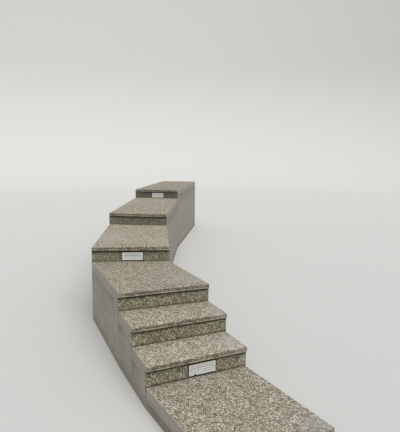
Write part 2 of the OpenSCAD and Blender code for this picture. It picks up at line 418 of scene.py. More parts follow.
class Finish:
    """A material on a Principled shader, built up by expressions on wires."""

    def __init__(self, name):
        self.material = bpy.data.materials.new(name)
        self.material.use_nodes = True
        self.nodes = self.material.node_tree.nodes
        self.links = self.material.node_tree.links
        self.shader = self.nodes["Principled BSDF"]
        self.place = self.node("ShaderNodeTexCoord", output="Object")

    def node(self, kind, output=0, settings=None, inputs=None):
        """Adds a node: its settings first, then a value or a wire for each input."""
        made = self.nodes.new(kind)
        for name, value in (settings or {}).items():
            setattr(made, name, value)
        for name, value in (inputs or {}).items():
            self.put(made.inputs[name], value)
        return Wire(self, made.outputs[output])

    def put(self, socket, value):
        """Links a wire to a socket, or sets the socket's own value."""
        if isinstance(value, Wire):
            self.links.new(value.socket, socket)
        elif hasattr(value, "__len__") and len(value) == 3 and socket.type == "RGBA":
            socket.default_value = (*value, 1)
        else:
            socket.default_value = value

    def set(self, **sockets):
        """Sets or links sockets of the shader, named with underscores for spaces."""
        for name, value in sockets.items():
            self.put(self.shader.inputs[name.replace("_", " ")], value)

    def math(self, operation, a, b=0.0):
        """One Math node."""
        return self.node("ShaderNodeMath", settings={"operation": operation}, inputs={0: a, 1: b})

    def step(self, value, low, high):
        """0 below low, 1 above high, and smooth between. The other way round if low is above high."""
        return self.node(
            "ShaderNodeMapRange", settings={"interpolation_type": "SMOOTHSTEP"},
            inputs={"Value": value, "From Min": low, "From Max": high, "To Min": 0.0, "To Max": 1.0})

    def mix(self, share, a, b, blend="MIX"):
        """Colour a with colour b laid over it by a share."""
        return self.node(
            "ShaderNodeMix", output=2,
            settings={"data_type": "RGBA", "blend_type": blend, "clamp_factor": True},
            inputs={0: share, 6: a, 7: b})

    def noise(self, pitch, detail=2.0, roughness=0.5, place=None):
        """Noise from 0 to 1 with features about a pitch wide."""
        return self.node("ShaderNodeTexNoise", inputs={
            "Vector": place or self.place, "Scale": 1 / pitch, "Detail": detail, "Roughness": roughness})

    def stretched(self, x, y, z):
        """The place, with its three coordinates multiplied."""
        return self.node(
            "ShaderNodeVectorMath", settings={"operation": "MULTIPLY"},
            inputs={0: self.place, 1: (x, y, z)})

    def cells(self, pitch, output="Distance"):
        """One output of a Voronoi pattern whose cells are a pitch wide."""
        return self.node(
            "ShaderNodeTexVoronoi", output=output,
            inputs={"Vector": self.place, "Scale": 1 / pitch, "Randomness": 1.0})

    def parts(self, colour):
        """The red, green and blue of a colour, as wires."""
        split = self.node("ShaderNodeSeparateColor", inputs={0: colour})
        return [Wire(self, socket) for socket in split.socket.node.outputs]

    def height(self):
        """The Z coordinate of the place."""
        return self.node("ShaderNodeSeparateXYZ", output="Z", inputs={0: self.place})

    def value(self, name):
        """An attribute of the mesh, or 0 where it has none."""
        return self.node("ShaderNodeAttribute", output="Fac", settings={"attribute_name": name})

    def ramp(self, share, stops):
        """A colour read from stops of (position, colour)."""
        wire = self.node("ShaderNodeValToRGB", output="Color")
        ramp = wire.socket.node.color_ramp
        for i, (position, colour) in enumerate(stops):
            stop = ramp.elements[i] if i < 2 else ramp.elements.new(position)
            stop.position = position
            stop.color = (*colour, 1)
        self.put(wire.socket.node.inputs[0], share)
        return wire

    def bump(self, height, depth):
        """Normal of a relief whose full height is a depth in metres."""
        return self.node("ShaderNodeBump", output="Normal", inputs={"Height": height, "Distance": depth})


# Widths of the cells of the aggregate's small and large stones, of its sand, and of the air holes
SMALL_CELL = 0.0042
LARGE_CELL = 0.0132
SAND = 0.0011
HOLE_CELL = 0.021
PIN_CELL = 0.008

# Full height of the relief of cast surfaces
RELIEF = 0.0012

# Colour that tones the fronts of the risers down beside the treads, as painted shade
RISER_SHADE = (0.80, 0.83, 0.76)

# Colours that multiply those below them: damp, clumps of darker stones, painted shade on upright
# paste and upright stones, and the mottle in a stone
DAMP = (0.30, 0.27, 0.22)
CLUMP = (0.42, 0.38, 0.30)
SHADED_UPRIGHT_PASTE = (0.36, 0.35, 0.29)
SHADED_UPRIGHT_STONE = (0.40, 0.38, 0.32)
MOTTLE = (0.42, 0.36, 0.28)

# Colours that cover those below them, first on formed concrete and then on the rest
PALE_CLOUD = (0.44, 0.42, 0.37)
GRAIN = (0.18, 0.165, 0.14)
STREAK = (0.16, 0.145, 0.115)
WEEP = (0.13, 0.115, 0.09)
EARTH = (0.15, 0.115, 0.08)
# Painted shade in the air holes of formed concrete
HOLE_SHADE = (0.07, 0.062, 0.05)
# A darker, greener colour laid over the upper risers
UPPER_RISER_DARK = (0.09, 0.09, 0.075)
ENAMEL_GRIME = (0.22, 0.19, 0.15)
# Dark grey of the lens: painted shade behind the hoods
SHADED_GLASS = (0.36, 0.38, 0.36)
GLASS_DUST = (0.26, 0.25, 0.21)
RUST = (0.09, 0.06, 0.04)
ZINC = (0.55, 0.56, 0.57)
DULL_ZINC = (0.34, 0.34, 0.34)
RUBBER_BLOOM = (0.06, 0.058, 0.052)
FLOOR_GRIT = (0.67, 0.67, 0.66)

# Stones of the aggregate, from dark basalt to cream quartz
STONE_STOPS = [
    (0.0, (0.045, 0.038, 0.030)),
    (0.14, (0.12, 0.095, 0.062)),
    (0.30, (0.29, 0.235, 0.15)),
    (0.46, (0.48, 0.42, 0.305)),
    (0.60, (0.62, 0.575, 0.475)),
    (0.78, (0.78, 0.74, 0.615)),
    (1.0, (0.90, 0.875, 0.785)),
]


def scaled(colour, share):
    """A share of each of a colour's three numbers."""
    return tuple(share * c for c in colour)


def toned(finish, colour, stone, tint, dirt_and_shade, upright_shade_share, patch_share):
    """A colour darkened in clumps a few centimetres wide and by painted shade on upright faces, cooler in
    the patches, and multiplied by a tint."""
    clump = finish.step(finish.noise(0.045, detail=3.0), 0.42, 0.62) * 0.32
    colour = finish.mix(clump, colour, CLUMP, blend="MULTIPLY")
    # Painted shade on upright faces: the fronts of the nosings and the stones in them
    colour = finish.mix(finish.value("upright") * upright_shade_share, colour, dirt_and_shade, blend="MULTIPLY")
    colour = finish.mix(finish.value("patch") * patch_share, colour, stone.lilac)
    return finish.mix(1.0, colour, tint, blend="MULTIPLY")


def aggregate(finish, stone, tint):
    """Aggregate in washed paste: small and large stones are the cells of two patterns, domed towards
    their middles, in paste with sand in it, and damp in places. A quarter of the large cells hold no
    stone. Returns colour, roughness and relief."""
    small = finish.cells(SMALL_CELL)
    small_tone = finish.parts(finish.cells(SMALL_CELL, output="Color"))[0]
    large = finish.cells(LARGE_CELL)
    large_tone, _, present = finish.parts(finish.cells(LARGE_CELL, output="Color"))
    small_mask = finish.step(small, 0.46, 0.36)
    large_mask = finish.step(large, 0.46, 0.40) * (present > 0.25)
    sand = finish.noise(SAND, detail=1.0)
    paste = finish.mix(finish.step(sand, 0.35, 0.7), stone.paste, scaled(stone.paste, 0.6))
    colour = finish.mix(small_mask * 0.8, paste, finish.ramp(small_tone * 0.7, STONE_STOPS))
    large_colour = finish.ramp(finish.step(large_tone, 0.08, 0.72), STONE_STOPS)
    colour = finish.mix(large_mask, colour, large_colour)
    damp = finish.noise(0.16, detail=3.0)
    colour = finish.mix(finish.step(damp, 0.45, 0.75) * 0.14, colour, DAMP, blend="MULTIPLY")
    # The upright paste of the nosings takes painted shade
    colour = toned(finish, colour, stone, tint, SHADED_UPRIGHT_PASTE, 0.7, 0.35 + sand * 0.5)
    relief = small_mask * (1 - small) * 0.5 + large_mask * (1.2 - large) * 0.8 + sand * 0.12
    return colour, 0.62 + sand * 0.25, relief


def formed(finish, stone):
    """Concrete cast against boards: a tone for each board, grain along it, small air holes darkened by
    painted shade, earth near the ground, and dark streaks, more of them where the value weep is high.
    Returns colour, roughness and relief."""
    board = finish.math("FLOOR", finish.height() / stone.board)
    # The fraction left by a large sine of a board's number is its tone
    tone = finish.math("FRACT", finish.math("SINE", board * 12.9898) * 43.7585)
    grain = finish.noise(0.0035, detail=3.0, place=finish.stretched(0.07, 0.07, 1.0))
    cloud = finish.noise(0.22, detail=4.0, roughness=0.6)
    streak = finish.noise(0.05, detail=2.0, place=finish.stretched(1.0, 1.0, 0.08))
    hole = finish.step(finish.cells(HOLE_CELL), 0.105, 0.07)
    pin = finish.step(finish.cells(PIN_CELL), 0.10, 0.06)
    colour = finish.mix(tone * 0.35, stone.formed, scaled(stone.formed, 0.72))
    colour = finish.mix(finish.step(cloud, 0.35, 0.7) * 0.4, colour, PALE_CLOUD)
    colour = finish.mix(finish.step(grain, 0.45, 0.7) * 0.16, colour, GRAIN)
    colour = finish.mix(finish.step(streak, 0.55, 0.8) * 0.30, colour, STREAK)
    weep = finish.value("weep") * (0.15 + finish.step(streak, 0.40, 0.65) * 0.55)
    colour = finish.mix(weep, colour, WEEP)
    earth = finish.step(finish.height() + cloud * 0.12, 0.22, 0.05)
    colour = finish.mix(earth * 0.45, colour, EARTH)
    open_hole = finish.math("MAXIMUM", hole, pin * 0.6)
    # Painted shade in the air holes
    colour = finish.mix(open_hole * 0.75, colour, HOLE_SHADE)
    relief = grain * 0.25 - open_hole * 1.0 + cloud * 0.2
    return colour, 0.74 + grain * 0.14, relief


def stone_finish(name, stone, tint):
    """Exposed aggregate with smooth paste on the arrises, formed faces, and dirt with painted shade,
    where the piece's own values for smooth paste, cast faces, and dirt with shade place them."""
    finish = Finish(name)
    colour, rough, relief = aggregate(finish, stone, tint)
    broken = finish.noise(0.009, detail=3.0)
    worn = finish.step(finish.noise(0.11, detail=2.0), 0.30, 0.62)
    smooth = finish.step(finish.value("smooth") + broken * 0.7, 0.75, 1.0) * (0.22 + worn * 0.5)
    colour = finish.mix(smooth, colour, stone.bare_paste)
    side_colour, side_rough, side_relief = formed(finish, stone)
    cast = finish.step(finish.value("cast") + broken * 0.3, 0.55, 0.75)
    colour = finish.mix(cast, colour, side_colour)
    # Dirt and painted shade along the joint behind a tread
    grime = finish.value("grime") * finish.step(finish.noise(0.03, detail=3.0), 0.15, 0.5)
    colour = finish.mix(grime * 0.6, colour, stone.dirt_and_shade)
    relief = relief * (1 - smooth * 0.8) * (1 - cast) + side_relief * cast
    finish.set(
        Base_Color=colour, Roughness=rough * (1 - cast) + side_rough * cast,
        Normal=finish.bump(relief, RELIEF), Specular_IOR_Level=0.35)
    return finish.material


def riser_finish(name, stone, rise, nosing):
    """Exposed aggregate on the front of a riser, toned down as painted shade, with dirt and painted shade
    at its foot and a painted shadow under the nosing, greener and darker on the upper steps, and formed
    concrete on its ends."""
    finish = Finish(name)
    # The risers' tint is painted shade
    colour, rough, relief = aggregate(finish, stone, RISER_SHADE)
    above_foot = finish.math("FRACT", finish.height() / rise) * rise
    ragged = finish.noise(0.03, detail=3.0) * 0.014
    # Dirt and painted shade at the foot of the riser
    foot = finish.step(above_foot + ragged, 0.015, 0.004) * 0.7
    # A painted shadow under the nosing
    under_nosing = rise - nosing
    nosing_shadow = finish.step(above_foot + ragged, under_nosing - 0.028, under_nosing - 0.012)
    colour = finish.mix(finish.math("MAXIMUM", foot, nosing_shadow) * 0.9, colour, stone.dirt_and_shade)
    # Darker and greener towards the upper steps
    colour = finish.mix(finish.step(finish.height(), *DARKENS) * 0.82, colour, UPPER_RISER_DARK)
    side_colour, side_rough, side_relief = formed(finish, stone)
    facing = finish.node(
        "ShaderNodeVectorMath", output="Value", settings={"operation": "DOT_PRODUCT"},
        inputs={0: finish.node("ShaderNodeNewGeometry", output="Normal"), 1: (0.0, -1.0, 0.0)})
    front = finish.step(facing, 0.55, 0.65)
    finish.set(
        Base_Color=finish.mix(front, side_colour, colour),
        Roughness=rough * front + side_rough * (1 - front),
        Normal=finish.bump(relief * front + side_relief * (1 - front), RELIEF),
        Specular_IOR_Level=0.35)
    return finish.material


def pebble_finish(name, stone, tint):
    """A tone for each modelled stone, mottled inside, water-worn and a little shiny."""
    finish = Finish(name)
    colour = finish.ramp(finish.value("tone"), STONE_STOPS)
    mottle = finish.noise(0.0022, detail=3.0)
    colour = finish.mix(finish.step(mottle, 0.4, 0.75) * 0.35, colour, MOTTLE, blend="MULTIPLY")
    # Stones on upright faces take painted shade
    colour = toned(finish, colour, stone, tint, SHADED_UPRIGHT_STONE, 0.6, 0.5)
    # Dirt and painted shade in the joints and at the risers' feet, painted shadow under the nosings, and
    # darker on the upper risers
    colour = finish.mix(finish.value("grime") * 0.75, colour, stone.dirt_and_shade)
    finish.set(
        Base_Color=colour, Roughness=0.46 + mottle * 0.25,
        Normal=finish.bump(finish.noise(0.0012, detail=2.0), 0.0002), Specular_IOR_Level=0.45)
    return finish.material


def formed_finish(name, stone):
    """Board-formed concrete."""
    finish = Finish(name)
    colour, rough, relief = formed(finish, stone)
    finish.set(
        Base_Color=colour, Roughness=rough, Normal=finish.bump(relief, RELIEF), Specular_IOR_Level=0.3)
    return finish.material


def enamel_finish(name, enamel, earth):
    """White baked enamel with a fine orange peel, chalky in places, and splashed with dirt."""
    finish = Finish(name)
    peel = finish.noise(0.0016, detail=1.0)
    chalk = finish.noise(0.03, detail=4.0, roughness=0.65)
    specks = finish.step(finish.noise(0.0045, detail=3.0, roughness=0.7), 0.66, 0.76)
    colour = finish.mix(finish.step(chalk, 0.5, 0.8) * 0.5, enamel, scaled(enamel, 0.82))
    colour = finish.mix(specks * 0.5, colour, earth)
    # On the face plates this value holds dirt alone, growing towards their lower edges
    grime = finish.value("grime") * finish.step(chalk, 0.2, 0.7) * 0.7
    colour = finish.mix(grime, colour, ENAMEL_GRIME)
    finish.set(
        Base_Color=colour, Roughness=0.30 + chalk * 0.2, Normal=finish.bump(peel, 0.00006),
        Specular_IOR_Level=0.5)
    return finish.material


def lens_finish(name):
    """Frosted glass, faintly green and dusty, its dark grey a painted shade behind the hoods."""
    finish = Finish(name)
    dust = finish.noise(0.012, detail=4.0)
    frost = finish.noise(0.0007, detail=1.0)
    finish.set(
        Base_Color=finish.mix(finish.step(dust, 0.4, 0.8) * 0.5, SHADED_GLASS, GLASS_DUST),
        Roughness=0.42 + dust * 0.2, Normal=finish.bump(frost, 0.00008), Specular_IOR_Level=0.5)
    return finish.material


def metal_finish(name, colour, tarnish, pitch, shine):
    """Dull metal: tarnish in blotches a pitch wide, and fine level scratches."""
    finish = Finish(name)
    blotch = finish.noise(pitch, detail=3.0)
    grains = finish.parts(finish.cells(pitch, output="Color"))[0]
    scratch = finish.noise(0.0006, detail=2.0, place=finish.stretched(0.1, 0.1, 1.0))
    share = finish.step(blotch, 0.45, 0.75)
    finish.set(
        Base_Color=finish.mix(share * 0.7, finish.mix(grains * 0.35, colour, tarnish), tarnish),
        Metallic=1 - share * 0.6, Roughness=shine + share * 0.3 + grains * 0.1,
        Normal=finish.bump(scratch, 0.00003))
    return finish.material


def rubber_finish(name, light):
    """Black rubber, greyed by weather."""
    finish = Finish(name)
    bloom = finish.noise(0.006, detail=3.0)
    finish.set(
        Base_Color=finish.mix(finish.step(bloom, 0.5, 0.8) * 0.35, light.rubber, RUBBER_BLOOM),
        Roughness=0.66 + bloom * 0.2, Normal=finish.bump(finish.noise(0.0008), 0.00005),
        Specular_IOR_Level=0.3)
    return finish.material


# Treads


class Tread:
    """Plan and heights of tread k, read from its CAD node."""

    # Spacing of the surface's points along the sides and along the nosing
    SIDE_PITCH = 0.032
    FRONT_PITCH = 0.014
    # Reach of the dirt and painted shade of the joint behind the tread
    JOINT_DIRT_AND_SHADE = 0.011
    # Parts of a front corner's arc, of a quarter turn of the profile and of the face between two turns
    CORNER_STEPS = 6
    TURN_STEPS = 5
    FACE_STEPS = 3
    # Mean depth of the ripple in a worn surface, and height above the foot of the nosing within which
    # that surface comes back to the CAD one
    RIPPLE = 0.0004
    FADE = 0.008
    # Mean and least height of the smooth band along the foot of the nosing
    SMOOTH_BAND = 0.012
    LEAST_BAND = 0.003

    def __init__(self, k, stone):
        node = f"tread_{k}"
        self.k, self.stone = k, stone
        self.front, self.left, self.right = (outer_face(node, side) for side in (FRONT, LEFT, RIGHT))
        gap = stone.joint if k < STEPS - 1 else 0.0
        self.back = moved(outer_face(node, BACK), -gap)
        levels = heights(node)
        self.top, self.bottom = levels[-1], levels[0]
        riser_top = heights(f"riser_{k}")[-1]
        self.nosing = self.top - riser_top
        self.seat = self.seat_depth(node)

    def seat_depth(self, node):
        """Depth of the notch under the nosing: how far behind the front the lowest points begin."""
        places = points_of(node)
        low = places[:, 2] < self.bottom + SAME_POINT
        return self.front[1] - (places[low, :2] @ self.front[0]).max()

    def arc(self, into, out):
        """Rounded corner between two faces: the points of an arc tangent to both, and their normals."""
        first = math.atan2(into[0][1], into[0][0])
        turn = (math.atan2(out[0][1], out[0][0]) - first) % (2 * math.pi)
        bisector = unit(into[0] + out[0])
        centre = meeting(into, out) - bisector * self.stone.corner / math.cos(turn / 2)
        angles = first + turn * np.linspace(0, 1, self.CORNER_STEPS + 1)
        spokes = np.stack([np.cos(angles), np.sin(angles)], axis=1)
        return centre + self.stone.corner * spokes, spokes

    def rim(self):
        """Outline from the back left corner round the front to the back right corner: straight runs
        divided evenly, and an arc at each front corner. Returns the plan points, the outward normals
        and the places in the row of the left seat, the two corners' middles and the right seat."""
        front, left, right = self.front, self.left, self.right
        left_arc, left_spokes = self.arc(left, front)
        right_arc, right_spokes = self.arc(front, right)
        seat = moved(front, -self.seat)
        back_left, back_right = meeting(self.back, left), meeting(self.back, right)
        seat_left, seat_right = meeting(seat, left), meeting(seat, right)
        length = np.linalg.norm(back_left - seat_left)
        width = np.linalg.norm(meeting(front, right) - meeting(left, front))

        def evenly(distance, pitch):
            """Shares that divide a run evenly, without its end."""
            steps = max(2, round(distance / pitch))
            return np.arange(steps) / steps

        behind, ahead = evenly(length, self.SIDE_PITCH), evenly(self.seat, self.SIDE_PITCH)
        wide = evenly(width, self.FRONT_PITCH)
        # One more row of points runs close to the back, where the dirt and painted shade of the joint end
        close = self.JOINT_DIRT_AND_SHADE / length
        runs = [
            (line(back_left, seat_left, np.insert(behind, 1, close)), left[0]),
            (line(seat_left, left_arc[0], ahead), left[0]),
            (left_arc[:-1], left_spokes[:-1]),
            (line(left_arc[-1], right_arc[0], wide), front[0]),
            (right_arc[:-1], right_spokes[:-1]),
            (line(right_arc[-1], seat_right, ahead), right[0]),
            (line(seat_right, back_right, np.append(behind, [1 - close, 1])), right[0]),
        ]
        plan = np.concatenate([points for points, _ in runs])
        normals = np.concatenate([np.broadcast_to(normal, points.shape) for points, normal in runs])
        ends = np.cumsum([len(points) for points, _ in runs])
        middle = self.CORNER_STEPS // 2
        return plan, normals, (ends[0], ends[1] + middle, ends[3] + middle, ends[5])

    def lowered(self, points):
        """How far the worn surface lies inside the CAD one: the paste's recess, a slow swell and a
        ripple."""
        swell = self.stone.swell * (0.5 + 0.5 * noise(points, 0.34, 3))
        ripple = self.RIPPLE * (1 + noise(points, 0.045, 5))
        return self.stone.recess + swell + ripple

    def band(self):
        """The profile carried round the rim. From the top it turns down the arris, goes straight down
        the face, and turns in under the nosing. The arris wanders a little and is chipped in places.
        Returns points, normals, the values smooth, cast and upright, and the marks."""
        plan, outward, marks = self.rim()
        level = raised(plan, self.top)
        chips = step_up(noise(level, 0.022, 11), 0.62, 0.9) * step_up(noise(level, 0.3, 12), 0.0, 0.5)
        radius = self.stone.arris * (1 + 0.12 * noise(level, 0.07, 7) + 0.45 * chips)
        # The arris stays smaller than the corners' radius, so that the surface doesn't fold there
        radius = np.minimum(radius, 0.92 * self.stone.corner)[:, None]
        facing = step_up(outward @ self.front[0], 0.2, 0.8)[:, None]
        under = self.stone.under * facing
        turn = np.linspace(0, math.pi / 2, self.TURN_STEPS + 1)[None]
        down = np.linspace(0, 1, self.FACE_STEPS + 1)[None, 1:-1]
        flush = np.zeros((len(plan), self.FACE_STEPS - 1))
        inset = np.concatenate([radius * (1 - np.sin(turn)), flush, under * (1 - np.cos(turn))], axis=1)
        drop = np.concatenate([
            radius * (1 - np.cos(turn)), radius + down * (self.nosing - under - radius),
            self.nosing - under + under * np.sin(turn)], axis=1)
        upright = np.full((1, self.FACE_STEPS - 1), math.pi / 2)
        tilt = np.concatenate([turn, upright, turn + math.pi / 2], axis=1)
        points = raised(plan[:, None] - inset[..., None] * outward[:, None], self.top - drop)
        normals = raised(np.sin(tilt)[..., None] * outward[:, None], np.cos(tilt) * np.ones_like(drop))
        keep = step_up(self.nosing - drop, 0.0, self.FADE)[..., None]
        points = points - normals * keep * self.lowered(points)[..., None]
        # Smooth paste lies on the upper arris, less of it in front, and along the foot of the nosing
        top_arris = np.exp(-((tilt - 0.6) / 0.7) ** 2) * (0.8 - 0.65 * facing)
        reach = self.SMOOTH_BAND * (1 + 1.1 * noise(level, 0.055, 17))
        reach = np.maximum(reach, self.LEAST_BAND)[:, None]
        low_arris = step_up(drop, self.nosing - reach, self.nosing - 0.3 * reach)
        values = {
            "smooth": np.maximum(top_arris, low_arris * facing),
            "cast": step_up(tilt, 0.9, 1.4) * (1 - facing),
            # upright is where painted shade darkens the front of the nosing
            "upright": step_up(tilt, 0.5, 1.2) * (1 - low_arris) * facing,
        }
        return points, normals, values, marks

    def patches(self, points):
        """How much each point lies in a cooler patch: bells round the middles of the tread's patches."""
        ahead = self.front[1] - points[..., :2] @ self.front[0]
        behind = self.back[1] - points[..., :2] @ self.back[0]
        to_left = self.left[1] - points[..., :2] @ self.left[0]
        to_right = self.right[1] - points[..., :2] @ self.right[0]
        total = np.zeros(points.shape[:-1])
        for k, across, along, radius, strength in PATCHES:
            if k == self.k:
                off_across = to_left - across * (to_left + to_right)
                off_along = ahead - along * (ahead + behind)
                ragged = radius * (1 + 0.45 * noise(points, 0.09, 31))
                total += strength * np.exp(-(off_across ** 2 + off_along ** 2) / ragged ** 2)
        return np.clip(total, 0, 1)

    def joint_dirt_and_shade(self, points):
        """Dirt and painted shade of the joint behind the tread, most at the joint. The last tread has no
        riser behind it, and neither dirt nor shade."""
        behind = self.back[1] - points[..., :2] @ self.back[0]
        return np.exp(-(behind / self.JOINT_DIRT_AND_SHADE) ** 2) * (self.k < STEPS - 1)

    def grids(self):
        """The slab's whole surface as a shell, and the grids that carry stones: the top, and the front
        with its normals."""
        band, normals, values, (seat_l, turn_l, turn_r, seat_r) = self.band()
        shell = Shell()
        shell.add(band, patch=self.patches(band), **values)
        front = band[turn_l:turn_r + 1]
        across = shares_along(front[:, 0])

        # Top: the back edge is straight between the ends of the band
        rim_top = band[:, 0]
        back_top = line(rim_top[0], rim_top[-1], across)
        back_top[:, 2] = self.top - self.lowered(raised(back_top[:, :2], self.top))
        back_top[[0, -1]] = rim_top[[0, -1]]
        top = patch(front[:, 0], back_top, rim_top[:turn_l + 1][::-1], rim_top[turn_r:])
        inside = np.zeros(top.shape[:2], bool)
        inside[1:-1, 1:-1] = True
        level = raised(top[..., :2], self.top)
        top[..., 2] = np.where(inside, self.top - self.lowered(level), top[..., 2])
        # The paste is half smooth along both sides
        worn = np.zeros(top.shape[:2])
        worn[[0, -1]] = 0.5
        # The top carries dirt and painted shade along the joint behind it
        shell.add(top, smooth=worn, grime=self.joint_dirt_and_shade(top), patch=self.patches(top))

        # Underside, notched for the riser's upstand
        def at_height(z, row):
            return raised(row[:, :2], z)

        low = at_height(self.top - self.nosing, band[:, -1])
        seat = line(low[seat_l], low[seat_r], across)
        back_low = line(low[0], low[-1], across)
        shell.add(patch(
            low[turn_l:turn_r + 1], seat, low[seat_l:turn_l + 1][::-1], low[turn_r:seat_r + 1]), cast=1.0)
        left_low, right_low = low[:seat_l + 1], low[seat_r:]
        for row in (seat, left_low, right_low):
            shell.add(np.stack([row, at_height(self.bottom, row)], axis=1), cast=1.0)
        rows = (seat, back_low, left_low[::-1], right_low)
        shell.add(patch(*(at_height(self.bottom, row) for row in rows)), cast=1.0)

        # Back face, from the section at one end of the band to that at the other
        rows = [line(band[0, j], band[-1, j], across) for j in range(band.shape[1])]
        rows[0] = back_top
        rows.append(at_height(self.bottom, back_low))
        below_top = np.minimum(np.arange(len(rows)), 1)[None]
        # The back face's top row carries the same dirt and painted shade
        shell.add(np.stack(rows, axis=1), cast=below_top, grime=self.joint_dirt_and_shade(back_top)[:, None])
        outside = slice(turn_l, turn_r + 1), slice(None, -self.TURN_STEPS)
        return shell, top, band[outside], normals[outside]


# Stones


# How far a stone may lie from the middle of its square, and every other row from the next, as shares
# of a square
JITTER = 0.26
ROW_SHIFT = 0.25
# Corners of a stone, how deep its rim is sunk, and its shoulder ring as a share of the rim
SIDES = 5
SUNK = 0.0006
SHOULDER = 0.70
# A piece of stones has at most this many
MOST_STONES = 10000


def index_at(shares, steps):
    """Where shares of a way lie in a row of points, from the lengths of the steps between them."""
    ends = np.concatenate([[0], np.cumsum(steps)])
    return np.interp(np.clip(shares, 0, 1) * steps.sum(), ends, np.arange(len(ends)))


def scatter(grid, normals, pitch, rng, skip=None):
    """Places stones on a grid of points: one in each square of a pitch, moved about in it at random, and
    every other row moved along. Returns places, normals and the distance to the nearest neighbour."""
    along = np.linalg.norm(np.diff(grid, axis=0), axis=-1).mean(1)
    across = np.linalg.norm(np.diff(grid, axis=1), axis=-1).mean(0)
    n, m = (max(1, round(steps.sum() / pitch)) for steps in (along, across))
    i, j = np.meshgrid(np.arange(n), np.arange(m), indexing="ij")
    a = (i + 0.5 + JITTER * rng.uniform(-1, 1, (n, m)) + ROW_SHIFT * (j % 2) - ROW_SHIFT / 2) / n
    b = (j + 0.5 + JITTER * rng.uniform(-1, 1, (n, m))) / m
    a, b = index_at(a, along), index_at(b, across)
    i0 = np.minimum(a.astype(int), len(grid) - 2)
    j0 = np.minimum(b.astype(int), grid.shape[1] - 2)
    s, t = (a - i0)[..., None], (b - j0)[..., None]

    def blend(field):
        return (
            (1 - s) * ((1 - t) * field[i0, j0] + t * field[i0, j0 + 1])
            + s * ((1 - t) * field[i0 + 1, j0] + t * field[i0 + 1, j0 + 1]))

    places, ups = blend(grid), unit(blend(normals))
    room = np.full((n, m), np.inf)
    for di, dj in ((1, 0), (0, 1), (1, 1), (1, -1)):
        apart = np.linalg.norm(places - np.roll(places, (-di, -dj), (0, 1)), axis=-1)
        room = np.minimum(room, np.minimum(apart, np.roll(apart, (di, dj), (0, 1))))
    keep = np.ones((n, m), bool) if skip is None else ~skip(places)
    return places[keep], ups[keep], room[keep]


def stones(places, ups, room, stone, rng):
    """Low domes of irregular five-sided outline. Each has a rim sunk in the paste, a shoulder ring and a
    crown, and is longer one way than the other. Returns points, triangles and the tone at each point."""
    count = len(places)
    # A stone leaves room for its neighbour, and stands up by less than the paste's recess
    half = np.minimum(rng.uniform(stone.stone_least, stone.stone_most, count), 0.56 * room)
    narrow = rng.uniform(0.62, 1.0, count)
    crown = np.minimum(0.30 * half * rng.uniform(0.7, 1.1, count), 0.9 * stone.recess)
    even = np.linspace(0, 2 * math.pi, SIDES, endpoint=False)
    angle = even + rng.uniform(-0.22, 0.22, (count, SIDES))
    reach = half[:, None] * rng.uniform(0.84, 1.0, (count, SIDES))
    ring = np.stack([np.cos(angle), np.sin(angle) * narrow[:, None]], axis=-1) * reach[..., None]
    helper = np.where(np.abs(ups[:, [2]]) > 0.9, np.array([[1.0, 0, 0]]), UP[None])
    first = unit(np.cross(helper, ups))
    second = np.cross(ups, first)
    spin = rng.uniform(0, 2 * math.pi, count)[:, None]
    length_way = first * np.cos(spin) + second * np.sin(spin)
    width_way = second * np.cos(spin) - first * np.sin(spin)

    def lifted(flat, height):
        return (
            places[:, None] + flat[..., :1] * length_way[:, None] + flat[..., 1:] * width_way[:, None]
            + height[..., None] * ups[:, None])

    points = np.concatenate([
        lifted(ring, np.full((count, SIDES), -SUNK)),
        lifted(ring * SHOULDER, crown[:, None] * rng.uniform(0.62, 0.85, (count, SIDES))),
        lifted(np.zeros((count, 1, 2)), crown[:, None]),
    ], axis=1)
    i = np.arange(SIDES)
    after = (i + 1) % SIDES
    dome = np.concatenate([
        np.stack([i, after, after + SIDES], axis=1), np.stack([i, after + SIDES, i + SIDES], axis=1),
        np.stack([i + SIDES, after + SIDES, np.full(SIDES, 2 * SIDES)], axis=1),
        np.stack([np.zeros(SIDES - 2, int), i[2:], i[1:-1]], axis=1),
    ])
    each = 2 * SIDES + 1
    faces = (dome[None] + each * np.arange(count)[:, None, None]).reshape(-1, 3)
    darkness = np.where(rng.uniform(size=count) < 0.3, 0.34, 1.0)
    tone = np.repeat(darkness * rng.beta(2.6, 0.9, count), each)
    return points.reshape(-1, 3), faces, tone


def stone_pieces(name, places, ups, room, values, finish, stone, rng):
    """Stones as joined meshes, each of a size that exports whole, with a number at each stone for each
    value that is named."""
    parts = math.ceil(len(places) / MOST_STONES)
    for i in range(parts):
        part = slice(i * len(places) // parts, (i + 1) * len(places) // parts)
        points, faces, tone = stones(places[part], ups[part], room[part], stone, rng)
        label = name if parts == 1 else f"{name}_{'abcdef'[i]}"
        each = len(points) // len(places[part])
        own = {key: np.repeat(value[part], each) for key, value in values.items()}
        piece = new_piece(label, points, faces, finish, {"tone": tone, **own})
        piece.data.set_sharp_from_angle(angle=STONE_SHARP)


# Side walls


# A formed face lies this far inside the CAD one, more by up to so much from board to board and in the
# middle of a board, and more or less by up to so much in waves
SET_BACK = 0.0011
UNEVEN = 0.0006
CUP = 0.0005
WAVE = 0.0003
# Half the thickness of a fin between boards at its crest and at its foot
FIN_CREST = 0.0005
FIN_FOOT = 0.0028
# Rows of points lie at these distances from a joint, the first ones on both of its sides
ROWS_AT_JOINT = (0.0012, 0.003)
ROWS_ABOVE = (0.045, 0.095)
# No row lies nearer to the foot or the groove of a wall than this
ROW_MARGIN = 0.0008
# Distance between points along a wall, and reach of the streaks below the slab
WALL_PITCH = 0.09
WEEP_REACH = 0.11
# Plan points of a wall nearer to its outer face than this lie on it
ON_FACE = 0.001


